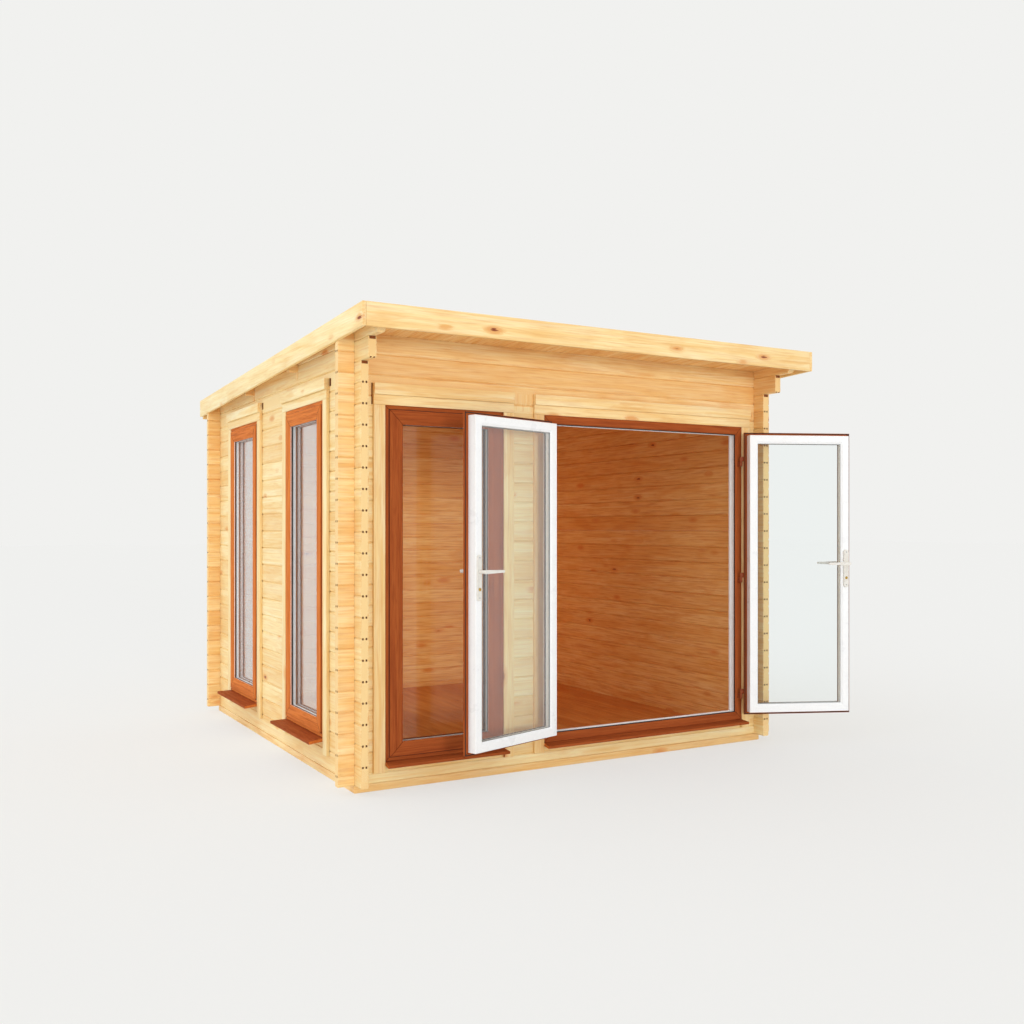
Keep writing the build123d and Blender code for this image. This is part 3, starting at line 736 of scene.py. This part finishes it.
def boardRowPiece(name, nodeName, size, faceDown, drop, finish, seed):
    # boards run from front to back and lie lower at the back by the drop
    low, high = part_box(nodeName)
    count = math.ceil((high.x - low.x) / size["width"])
    pitch = (high.x - low.x) / count
    thickness = high.z - low.z - drop
    half = (pitch - size["gap"]) / 2
    cut = size["chamfer"]
    section = [(half, 0), (half, thickness - cut), (half - cut, thickness)]
    section += [(-x, z) for x, z in reversed(section)]
    if faceDown:
        section = [(x, thickness - z) for x, z in section]

    def build(bm):
        ends = ((low.y, low.z + drop), (high.y, low.z))
        joinLoops(bm, [[(x, y, under + z) for x, z in section] for y, under in ends])

    board = newPiece("oneBoard", solidMesh("oneBoard", build))
    values = {"Count": count, "Pitch": pitch, "Board": board, "Finish": finish}
    row = runTree(name, bpy.data.meshes.new(name), boardRow, boardRowInputs, values)
    row.data.transform(Matrix.Translation((low.x + pitch / 2, 0, 0)))
    giveGrain(row, seed, size["warmth"])
    return row


deck = boardRowPiece("floorDeck", "floor_deck", floorBoards, False, 0.0, floorPine, seeds["floor"])
place(deck, "cabin", "floor_pine", "floor_deck")
roofPoints = [v.co for v in nodes["roof_boards"].data.vertices]
roofHigh = boxOf(roofPoints)[1]
roofDrop = roofHigh.z - max(p.z for p in roofPoints if p.y > roofHigh.y - meshCare["sameLevel"])
roof = boardRowPiece("roofBoards", "roof_boards", roofBoards, True, roofDrop, pine, seeds["roof"])
place(roof, "cabin", "planed_pine", "roof_boards")
print("floor and roof boards done")

# Roof membrane: sheets across the slope, laid from the back, each lapping the one below it
membraneSheets = {"width": 900 * mm, "lap": 90 * mm, "lift": 1.6 * mm, "lapThickness": 0.3, "lapSlope": 0.2}
sheetLow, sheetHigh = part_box("roof_membrane")
sheetThickness = sheetHigh.z - sheetLow.z - roofDrop


def sheetTop(y):
    return sheetHigh.z - roofDrop * (y - sheetLow.y) / (sheetHigh.y - sheetLow.y)


def addSheet(bm, steps, thickness):
    # steps: pairs of a place along the slope and a lift
    left, right = (
        [[bm.verts.new((x, y, sheetTop(y) + lift - down)) for y, lift in steps] for down in (0.0, thickness)]
        for x in (sheetLow.x, sheetHigh.x)
    )
    for i in range(len(steps) - 1):
        for level in (0, 1):
            bm.faces.new((left[level][i], right[level][i], right[level][i + 1], left[level][i + 1]))
        for top, under in (left, right):
            bm.faces.new((top[i], top[i + 1], under[i + 1], under[i]))
    for i in (0, -1):
        bm.faces.new((left[0][i], left[1][i], right[1][i], right[0][i]))


def buildSheets(bm):
    m = membraneSheets
    y = sheetHigh.y
    addSheet(bm, [(y - m["width"], 0.0), (y, 0.0)], sheetThickness)
    y -= m["width"]
    while y > sheetLow.y:
        lower = y + m["lap"]
        upper = max(y - m["width"] + m["lap"], sheetLow.y)
        if upper - sheetLow.y < m["lap"]:
            upper = sheetLow.y
        addSheet(bm, [(upper, 0.0), (y, 0.0)], sheetThickness)
        rise = [(y, 0.0), (y + m["lap"] * m["lapSlope"], m["lift"]), (lower, m["lift"])]
        addSheet(bm, rise, sheetThickness * m["lapThickness"])
        y = upper


sheets = newPiece("roofMembrane", solidMesh("roofMembrane", buildSheets), membrane)
place(sheets, "cabin", "roof_membrane", "roof_membrane")
print("roof membrane done")

# Frames, sashes and leaves are rings of four mitred members, drawn flat as across, depth and height,
# then set on a wall
onFront = Matrix.Translation((0, frontY, 0))
onLeft = Matrix.Translation((leftX, 0, 0)) @ Matrix.Rotation(-math.pi / 2, 4, "Z")
memberShift = 0.3  # keeps the grain of the four members of a ring apart


def sections(nodeName, onWall):
    # where a node's surfaces turn, across, in depth and in height
    toFlat = onWall.inverted()
    points = [toFlat @ v.co for v in nodes[nodeName].data.vertices]
    found = ([], [], [])
    for k in range(3):
        for value in sorted(p[k] for p in points):
            if not found[k] or value - found[k][-1] > meshCare["sameLevel"]:
                found[k].append(value)
    return found


def rectOf(across, height, step=0):
    # the outline of a ring, or with a step the next outline inwards
    return (across[step], across[-1 - step], height[step], height[-1 - step])


def inset(rect, by):
    return (rect[0] + by, rect[1] - by, rect[2] + by, rect[3] - by)


def between(outer, inner, share):
    return tuple(a + (b - a) * share for a, b in zip(outer, inner))


def corners(rect):
    return [(rect[0], rect[2]), (rect[1], rect[2]), (rect[1], rect[3]), (rect[0], rect[3])]


def ringPiece(name, profile, onWall, materials, seed=0, warmth=0.0):
    # a profile is a closed list of rectangle, depth and the material number of the strip that starts there
    shuffle = random.Random(seed)
    memberTones = [shuffle.random() for side in range(4)]
    vertices, faces, numbers = [], [], []
    hearts, tones, mitres = [], [], []
    girth = 0.0
    for i, (rect, depth, number) in enumerate(profile):
        vertices += [onWall @ Vector((a, depth, z)) for a, z in corners(rect)]
        j = (i + 1) % len(profile)
        nextRect, nextDepth = profile[j][:2]
        width = math.hypot(rect[0] - nextRect[0], depth - nextDepth)
        for side in range(4):
            after = (side + 1) % 4
            faces.append((4 * i + side, 4 * i + after, 4 * j + after, 4 * j + side))
            numbers.append(number)
            around = ((rect, side), (rect, after), (nextRect, after), (nextRect, side))
            ends = [corners(r)[c][side % 2] for r, c in around]
            turns = (girth, girth, girth + width, girth + width)
            hearts += [(end, turn, memberShift * side) for end, turn in zip(ends, turns)]
            tones += [memberTones[side]] * 4
            mitres += [0.0, abs(ends[1] - ends[0]), abs(ends[2] - ends[3]), 0.0]
        girth += width
    mesh = bpy.data.meshes.new(name)
    mesh.from_pydata(vertices, [], faces)
    values = {"boardTone": tones, "boardWarmthAndShade": [warmth] * len(tones), "mitreGap": mitres}
    mesh.attributes.new("heartCo", "FLOAT_VECTOR", "CORNER")
    for label in values:
        mesh.attributes.new(label, "FLOAT", "CORNER")
    mesh.attributes["heartCo"].data.foreach_set("vector", [c for point in hearts for c in point])
    for label, amounts in values.items():
        mesh.attributes[label].data.foreach_set("value", amounts)
    mesh.polygons.foreach_set("material_index", numbers)
    bm = bmesh.new()
    bm.from_mesh(mesh)
    bmesh.ops.recalc_face_normals(bm, faces=bm.faces)
    bm.to_mesh(mesh)
    bm.free()
    return newPiece(name, mesh, *materials)


# Welded frames in oak foil, white inside on the door, with a shallow step round the inside edge
frameShape = {
    "round": 2.5 * mm, "lip": 9 * mm, "lipShare": 0.6, "whiteFrom": 14 * mm, "foilSide": 29 * mm,
    "upstand": 5 * mm, "upstandWidth": 18 * mm,  # low white rib round the inside of an opening
    "shadowGap": 3.5 * mm, "shadowRise": 1.05 * mm,  # rubber line where a fixed sash lies on its frame
    "shadowEase": 0.1 * mm,
}
# Sashes and leaves: a flange that laps the frame, a sloped face to the glass, and on the leaves a white bead
# inside
sashShape = {
    "round": 2.5 * mm, "lipShare": 0.62, "slopeShare": 0.7, "slope": 2 * mm, "bead": 15 * mm,
    "core": 3 * mm,  # white strip on the nose, next to the gasket
}
# Double glazing: two sheets, the strip between their edges and the seals that hold them
glazing = {
    "edge": 15 * mm, "sheet": 3 * mm, "pocketEase": 0.5 * mm, "ease": 0.3 * mm,
    "spacerFrom": 4 * mm, "spacerTo": 14 * mm, "stripShare": 0.72,
    "gasket": 9 * mm, "gasketBack": 4 * mm, "gasketWidth": 3 * mm, "gasketHidden": 2.4 * mm,
}
rubberLip = {"from": 0.15, "to": 0.7}  # shares of a lip's width where its top lies
sillShape = {"arris": 2.5 * mm, "warmth": 1.0}
ringMaterials = (foil, whitePlastic)


def frameProfile(outer, inner, front, back, inside):
    s = frameShape
    r = s["round"]
    white = front + s["whiteFrom"]
    rib = inset(inner, s["upstand"])
    ribFront = back - s["upstandWidth"]
    return [
        (outer, back, inside), (outer, front + s["foilSide"], 0), (outer, front + r, 0),
        (inset(outer, r), front, 0), (inset(inner, -s["lip"]), front, 0),
        (inset(inner, -r), front + s["lip"] * s["lipShare"], 0), (inner, front + s["lip"], 0),
        (inner, white, inside), (inner, ribFront, inside), (rib, ribFront + r, inside), (rib, back, inside),
    ]


def sashProfile(flange, body, sight, pocket, depths, inside):
    s = sashShape
    r = s["round"]
    flangeFront, flangeBack, pocketFront, pocketBack, back = depths
    nose = pocketFront - glazing["gasket"] - s["core"]
    lip = between(flange, sight, s["lipShare"])
    slope = between(flange, sight, s["slopeShare"])
    beadWidth = s["bead"] if inside else r
    beadFrom = pocketBack + r if inside else back - r
    return [
        (body, flangeBack, 0), (flange, flangeBack, 0), (flange, flangeFront + r, 0),
        (inset(flange, r), flangeFront, 0), (lip, flangeFront, 0), (slope, flangeFront + s["slope"], 0),
        (inset(sight, -r), nose - r, 0), (sight, nose, 1), (sight, nose + s["core"], 0),
        (sight, pocketFront, 1), (pocket, pocketFront, 1), (pocket, pocketBack, 1),
        (sight, pocketBack, inside), (sight, beadFrom, inside), (inset(sight, -beadWidth), back, inside),
        (inset(body, r), back, inside), (body, back - r, inside),
    ]


def rubberProfile(outer, width, depth, rise):
    # a low rubber lip on a face at the depth, standing up by the rise
    top = depth + rise
    return [
        (outer, depth, 0), (inset(outer, width * rubberLip["from"]), top, 0),
        (inset(outer, width * rubberLip["to"]), top, 0), (inset(outer, width), depth, 0),
    ]


def addFrame(nodeName, onWall, inside, seed, warmth):
    # gives back the opening, and the front and back of the frame
    across, depth, height = sections(nodeName, onWall)
    outer, inner = rectOf(across, height), rectOf(across, height, 1)
    front, back = depth[0], depth[-1]
    profile = frameProfile(outer, inner, front, back, inside)
    surround = ringPiece(pieceName(nodeName), profile, onWall, ringMaterials, seed, warmth)
    place(surround, "cabin", "oak_foil", nodeName)
    return inner, front, back


def glassPiece(name, rect, front, back, onWall):
    g = glazing

    def build(bm):
        for number, depths in enumerate(((front, front + g["sheet"]), (back - g["sheet"], back))):
            loops = [[onWall @ Vector((a, depth, z)) for a, z in corners(rect)] for depth in depths]
            for face in joinLoops(bm, loops):
                face.material_index = number

    return newPiece(name, solidMesh(name, build), coatedGlass, glass)


def glaze(name, body, onWall, innerRubber, stripBack):
    label, nodeName = pieceName(name), name + "_glass"
    across, depth, height = sections(nodeName, onWall)
    g = glazing
    rect = rectOf(across, height)
    front, back = depth[0], depth[-1]
    place(glassPiece(label + "Glass", rect, front, back, onWall), body, "clear_glass", nodeName)
    near, far = front + g["sheet"] + g["ease"], back - g["sheet"] - g["ease"]
    outer, inner = inset(rect, g["spacerFrom"]), inset(rect, g["spacerTo"])
    middle = near + (far - near) * g["stripShare"]
    strip = [(outer, near, 0), (inner, near, 0), (inner, middle, 1), (inner, far, 1), (outer, far, 0)]
    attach(ringPiece(label + "Spacer", strip, onWall, (spacerStrip, stripBack)), body)
    outer = inset(inset(rect, g["edge"]), -g["gasketHidden"])
    gaskets = (
        ("Outer", front - g["ease"], -g["gasket"], blackRubber),
        ("Inner", back + g["ease"], g["gasketBack"], innerRubber),
    )
    for side, face, rise, rubber in gaskets:
        profile = rubberProfile(outer, g["gasketWidth"], face, rise)
        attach(ringPiece(label + side + "Gasket", profile, onWall, (rubber,)), body)


def addSill(nodeName, seed):
    sill = copyOf(nodeName, foil)
    soften(sill, sillShape["arris"])
    giveGrain(sill, seed, sillShape["warmth"])
    place(sill, "cabin", "oak_foil", nodeName)


# the wall of each window and the warmth of its foil, painted shade on the front
windows = {
    "front_window": (onFront, 1.0),
    "left_front_window": (onLeft, 0.0),
    "left_rear_window": (onLeft, 0.0),
}
for number, (name, (onWall, warmth)) in enumerate(windows.items()):
    opening, front, back = addFrame(name + "_frame", onWall, 0, seeds["frames"] + number, warmth)
    across, depth, height = sections(name + "_sash", onWall)
    flange, body, pocket, sight = (rectOf(across, height, step) for step in range(4))
    depth[-1] = back  # flush with the frame inside
    profile = sashProfile(flange, body, sight, pocket, depth, 0)
    seed = seeds["sashes"] + number
    sash = ringPiece(pieceName(name + "_sash"), profile, onWall, ringMaterials, seed, warmth)
    place(sash, "cabin", "oak_foil", name + "_sash")
    gap, rise = frameShape["shadowGap"], frameShape["shadowRise"]
    profile = rubberProfile(inset(flange, -gap), 2 * gap, front - frameShape["shadowEase"], -rise)
    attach(ringPiece(pieceName(name) + "SashSeal", profile, onWall, (blackRubber,)), "cabin")
    glaze(name, "cabin", onWall, blackRubber, sealant)
    addSill(name + "_sill", seeds["sills"] + number)
print("windows done")

doorSeal = {"width": 8 * mm, "rise": 5 * mm, "edge": 2 * mm}
# the door frame's foil gets the front's full painted shade
opening, front, back = addFrame("door_frame", onFront, 1, seeds["doorFrame"], 1.0)
near = front + frameShape["lip"]
far = near + doorSeal["width"]
lip, edge = inset(opening, doorSeal["rise"]), doorSeal["edge"]
profile = [(opening, near, 0), (lip, near + edge, 0), (lip, far - edge, 0), (opening, far, 0)]
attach(ringPiece("doorFrameSeal", profile, onFront, (blackRubber,)), "cabin")
addSill("door_sill", seeds["doorSill"])

# Door leaves: drawn closed in the frame, then turned about their hinges to where the frame has them
leaves = {"left_door": -1, "right_door": 1}
leafSeal = {"inset": 3 * mm, "width": 5 * mm, "rise": 3 * mm}
leafPlaces = {}
for number, (name, side) in enumerate(leaves.items()):
    joint = next(j for j in frame["joints"] if j["name"] == name + "_swing")
    pin = Matrix.Translation(joint["pos_m"])
    opened = Matrix.Rotation(math.radians(joint["range_deg"][1]) * side, 4, "Z")
    onLeaf = pin @ opened @ pin.inverted() @ onFront
    leafPlaces[name] = onLeaf
    across, depth, height = sections(name + "_glass", onLeaf)
    pane = rectOf(across, height)
    pocket, sight = inset(pane, -glazing["pocketEase"]), inset(pane, glazing["edge"])
    across, depth, height = sections(name + "_sash", onLeaf)
    flange, body = rectOf(across, height), rectOf(across, height, 1)
    profile = sashProfile(flange, body, sight, pocket, depth, 1)
    # the leaves' foil gets the front's full painted shade
    leaf = ringPiece(pieceName(name + "_sash"), profile, onLeaf, ringMaterials, seeds["leaves"] + number, 1.0)
    place(leaf, name, "white_upvc", name + "_sash")
    profile = rubberProfile(inset(flange, leafSeal["inset"]), leafSeal["width"], depth[1], leafSeal["rise"])
    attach(ringPiece(pieceName(name) + "FlangeSeal", profile, onLeaf, (blackRubber,)), name)
    glaze(name, name, onLeaf, greyRubber, spacerStrip)
print("door leaves done")

# Hinges and door furniture keep their CAD shape: slot, finish and arris of each
leafFurniture = {
    "hinges": ("brown_metal", brownPaint, 1.5 * mm), "plates": ("cream_metal", creamPaint, 2.5 * mm),
    "lock": ("key_brass", brass, 0.8 * mm), "lever": ("cream_metal", creamPaint, 2.5 * mm),
}
furniture = {"frame_hinges": ("cabin", *leafFurniture["hinges"])}
for kind, values in leafFurniture.items():
    for name in leaves:
        furniture[name + "_" + kind] = (name + "_handle" if kind == "lever" else name, *values)
pieces = {}
for nodeName, (body, slot, finish, arris) in furniture.items():
    pieces[nodeName] = copyOf(nodeName, finish)
    soften(pieces[nodeName], arris)

# Keyways in the cylinders and screws in the plates
keyway = {"width": 1.8 * mm, "height": 9 * mm, "depth": 5 * mm}
plateScrew = {
    "fromEnd": 16 * mm, "corners": 16,
    # distance from the plate and radius, from inside the plate to the top of the head
    "rounds": ((-1 * mm, 3.6 * mm), (0.48 * mm, 3.6 * mm), (1.02 * mm, 2.7 * mm), (1.2 * mm, 1.08 * mm)),
}


def turnedPiece(name, rounds, count):
    return prismPiece(name, [(x, roundOutline(radius, count)) for x, radius in rounds])


for name, onLeaf in leafPlaces.items():
    outwardTurn = onLeaf.to_euler().z - math.pi / 2
    inwardTurn = outwardTurn + math.pi
    across, depth, height = sections(name + "_lock", onLeaf)
    middle = (across[0] + across[-1]) / 2
    level = (height[0] + height[-1]) / 2
    spots = [(onLeaf @ Vector((middle, d, level)), (0, 0, outwardTurn)) for d in (depth[0], depth[-1])]
    slot = cutterPiece("keySlot", boxOutline(keyway["width"], keyway["height"]), keyway["depth"])
    pieces[name + "_lock"].data.materials.append(blackRubber)
    carve(pieces[name + "_lock"], repeated("keySlots", slot, spots, blackRubber))
    across, depth, height = sections(name + "_plates", onLeaf)
    ends = (height[0] + plateScrew["fromEnd"], height[-1] - plateScrew["fromEnd"])
    spots = [
        (onLeaf @ Vector((middle, d, z)), (0, 0, turn))
        for d, turn in ((depth[0], outwardTurn), (depth[-1], inwardTurn)) for z in ends
    ]
    screw = turnedPiece("screw", plateScrew["rounds"], plateScrew["corners"])
    screws = repeated(pieceName(name) + "PlateScrews", screw, spots, zinc)
    place(screws, name, "cream_metal")
for nodeName, (body, slot, finish, arris) in furniture.items():
    place(pieces[nodeName], body, slot, nodeName)
print("hinges and handles done")

# Storm braces: boards in the rear corners, held by bolts in long slots so that the logs can settle
stormBraces = {
    # their warmth is painted shade for the room inside
    "arris": 2 * mm, "warmth": 1.0, "fromEnd": 130 * mm,
    "slotRadius": 5.5 * mm, "slotLength": 60 * mm, "slotReach": 30 * mm, "slotCorners": 20,
}
# a round washer and the six-sided head on it: distance from the board and radius
braceBolt = {
    "washer": ((0.0, 12 * mm), (2 * mm, 12 * mm)), "washerCorners": 24,
    "head": ((1 * mm, 8 * mm), (6 * mm, 8 * mm), (7 * mm, 6.8 * mm)), "headCorners": 6,
}
braces = copyOf("storm_braces", pine, grooveWoodPaintedShade)
soften(braces, stormBraces["arris"])
giveGrain(braces, seeds["braces"], stormBraces["warmth"])
slotSpots, boltSpots = [], []
for low, high in partBoxes(braces.data):
    middle = (low + high) / 2
    onSide = high.x - low.x < high.y - low.y
    turn = (math.pi if middle.x > 0 else 0.0) if onSide else -math.pi / 2
    half = (high.x - low.x if onSide else high.y - low.y) / 2
    for z in (low.z + stormBraces["fromEnd"], high.z - stormBraces["fromEnd"]):
        spot = Vector((middle.x, middle.y, z))
        slotSpots.append((spot, (0, 0, turn)))
        boltSpots.append((spot + Vector((math.cos(turn), math.sin(turn), 0)) * half, (0, 0, turn)))
outline = roundOutline(stormBraces["slotRadius"], stormBraces["slotCorners"], stormBraces["slotLength"])
slot = cutterPiece("braceSlot", outline, stormBraces["slotReach"])
carve(braces, repeated("braceSlots", slot, slotSpots, grooveWoodPaintedShade))
place(braces, "cabin", "planed_pine", "storm_braces")
bolt = turnedPiece("bolt", braceBolt["washer"], braceBolt["washerCorners"])
head = turnedPiece("boltHead", braceBolt["head"], braceBolt["headCorners"])
bm = bmesh.new()
bm.from_mesh(bolt.data)
bm.from_mesh(head.data)
bm.to_mesh(bolt.data)
bm.free()
bpy.data.objects.remove(head)
bolts = repeated("braceBolts", bolt, boltSpots, zinc)
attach(bolts, "cabin")
print("storm braces done")

# Studio: pale floor and surroundings, and soft light that comes mostly from the left and the front
studio = {
    "floor": "F4F4F2", "background": "F1F1EF", "floorSize": 80.0, "floorGlow": 0.65,
    "skyLight": 0.67, "leftLight": 0.78, "leftFrom": (-0.9, 0.25, 0.35),
    "frontLight": 0.86, "frontFrom": (-0.05, -0.99, 0.055), "frontSpread": 12,
    "roomLight": 5.0, "roomFrom": (-0.5, 0.15, 1.2), "roomTo": (-0.5, 1.3, 1.2), "roomSize": 1.4,
}
floorValues = {"Base Color": linearColour(studio["floor"]), "Roughness": 0.9, "Specular IOR Level": 0.0}
floorMaterial, tree, shader = startMaterial("studioFloor", floorValues)
path = addNode(tree, "ShaderNodeLightPath")
onlySeen = {0: path.outputs["Is Camera Ray"], 1: studio["floorGlow"]}
share = addNode(tree, "ShaderNodeMath", onlySeen, operation="MULTIPLY")
glow = addNode(tree, "ShaderNodeEmission", {"Color": linearColour(studio["background"]), "Strength": 1.0})
mixed = addNode(tree, "ShaderNodeMixShader", {0: share, 1: shader, 2: glow})
tree.links.new(mixed.outputs[0], tree.nodes["Material Output"].inputs["Surface"])
floorGrid = {"x_segments": 1, "y_segments": 1, "size": studio["floorSize"]}
floorMesh = solidMesh("studioFloor", lambda bm: bmesh.ops.create_grid(bm, **floorGrid))
studioFloor = newPiece("studioFloor", floorMesh, floorMaterial)

world = bpy.data.worlds.new("studio")
bpy.context.scene.world = world
world.use_nodes = True
tree = world.node_tree
tree.nodes.clear()
path = addNode(tree, "ShaderNodeLightPath").outputs
seen = path["Is Camera Ray"]
for kind in ("Is Glossy Ray", "Is Transmission Ray"):
    seen = addNode(tree, "ShaderNodeMath", {0: seen, 1: path[kind]}, operation="MAXIMUM")
direction = addNode(tree, "ShaderNodeTexCoord").outputs["Generated"]
leftwards = {0: direction, 1: Vector(studio["leftFrom"]).normalized()}
facing = addNode(tree, "ShaderNodeVectorMath", leftwards, operation="DOT_PRODUCT").outputs["Value"]
brightest = studio["skyLight"] + studio["leftLight"]
lit = addNode(tree, "ShaderNodeMapRange", {"Value": facing, 3: studio["skyLight"], 4: brightest})
sky = addNode(tree, "ShaderNodeBackground", {"Color": (1, 1, 1, 1), "Strength": lit})
backdrop = addNode(tree, "ShaderNodeBackground", {"Color": linearColour(studio["background"]), "Strength": 1.0})
mixed = addNode(tree, "ShaderNodeMixShader", {0: seen, 1: sky, 2: backdrop})
addNode(tree, "ShaderNodeOutputWorld", {"Surface": mixed})


def addLamp(name, kind, energy, towards):
    # shines from the side that it is turned towards, without a mirror image of itself
    lamp = bpy.data.objects.new(name, bpy.data.lights.new(name, kind))
    lamp.data.energy = energy
    lamp.rotation_euler = towards.to_track_quat("Z", "Y").to_euler()
    lamp.visible_camera = lamp.visible_glossy = lamp.visible_transmission = False
    bpy.context.scene.collection.objects.link(lamp)
    return lamp


frontLamp = addLamp("frontLight", "SUN", studio["frontLight"], Vector(studio["frontFrom"]))
frontLamp.data.angle = math.radians(studio["frontSpread"])
roomAway = Vector(studio["roomFrom"]) - Vector(studio["roomTo"])
roomLamp = addLamp("roomLight", "AREA", studio["roomLight"], roomAway)
roomLamp.location = studio["roomFrom"]
roomLamp.data.size = studio["roomSize"]

# Camera at the photograph's view, for a square image
cameraView = {"place": (-3.344, -6.489, 1.383), "bearing": 29.652, "lens": 36.37, "shiftY": 15.5 / 1024}
camera = bpy.data.cameras.new("photoCamera")
camera.sensor_width = 36
camera.sensor_fit = "HORIZONTAL"
camera.lens = cameraView["lens"]
camera.shift_y = cameraView["shiftY"]
cameraObject = bpy.data.objects.new("photoCamera", camera)
cameraObject.location = cameraView["place"]
cameraObject.rotation_euler = (math.pi / 2, 0, -math.radians(cameraView["bearing"]))
bpy.context.scene.collection.objects.link(cameraObject)
bpy.context.scene.camera = cameraObject
bpy.context.scene.view_settings.view_transform = "Standard"

print("scene ready")
